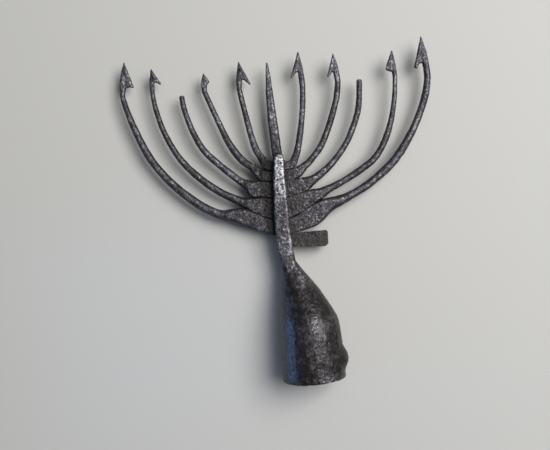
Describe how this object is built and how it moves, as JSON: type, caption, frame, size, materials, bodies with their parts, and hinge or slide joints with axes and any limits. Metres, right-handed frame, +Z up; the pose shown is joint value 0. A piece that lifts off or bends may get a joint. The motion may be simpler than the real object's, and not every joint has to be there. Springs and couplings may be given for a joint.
{
  "type": "fishing spear head",
  "caption": "Hand-forged fish and eel spear head: bent bars with barbed points, stacked in a keyed fork in a fan, a straight middle spike and a rolled socket for a wooden pole.",
  "frame": {"origin": "centre of the socket's mouth, on the axis of the pole", "axes": "+Y along the pole's axis towards the points, +X to the side where the key stands out, +Z up from the surface that the spear head lies on"},
  "size_m": [0.2045, 0.2186, 0.04],
  "materials": {
    "dark_iron": "old forged iron, pitted, dark brown-black patina with worn grey tops",
    "worn_iron": "old forged iron, worn to bright pitted metal on its outer faces",
    "rusty_iron": "old forged iron, pitted, with dark red-brown rust"
  },
  "bodies": {
    "fork": {"socket": "dark_iron", "shank": "worn_iron", "centre_spike": "dark_iron", "pole_nail": "rusty_iron"},
    "key": {"lock_key": "rusty_iron"},
    "outer_bar": {"outer_bar": "dark_iron"},
    "second_bar": {"second_bar": "dark_iron"},
    "third_bar": {"third_bar": "rusty_iron"},
    "fourth_bar": {"fourth_bar": "dark_iron"},
    "inner_bar": {"inner_bar": "dark_iron"}
  },
  "joints": [
    {"name": "key_slide", "type": "slide", "parent": "fork", "child": "key", "axis": [0.995, -0.0995, 0], "range_m": [0, 0.012]},
    {"name": "outer_bar_drop", "type": "slide", "parent": "fork", "child": "outer_bar", "axis": [0, -1, 0], "range_m": [0, 0.0012]},
    {"name": "second_bar_drop", "type": "slide", "parent": "fork", "child": "second_bar", "axis": [0, -1, 0], "range_m": [0, 0.0012]},
    {"name": "third_bar_drop", "type": "slide", "parent": "fork", "child": "third_bar", "axis": [0, -1, 0], "range_m": [0, 0.0012]},
    {"name": "fourth_bar_drop", "type": "slide", "parent": "fork", "child": "fourth_bar", "axis": [0, -1, 0], "range_m": [0, 0.0012]},
    {"name": "inner_bar_drop", "type": "slide", "parent": "fork", "child": "inner_bar", "axis": [0, -1, 0], "range_m": [0, 0.0012]}
  ],
  "couplings": [
    {"joint": "outer_bar_drop", "follows": "key_slide", "ratio": 0.099504},
    {"joint": "second_bar_drop", "follows": "key_slide", "ratio": 0.099504},
    {"joint": "third_bar_drop", "follows": "key_slide", "ratio": 0.099504},
    {"joint": "fourth_bar_drop", "follows": "key_slide", "ratio": 0.099504},
    {"joint": "inner_bar_drop", "follows": "key_slide", "ratio": 0.099504}
  ]
}
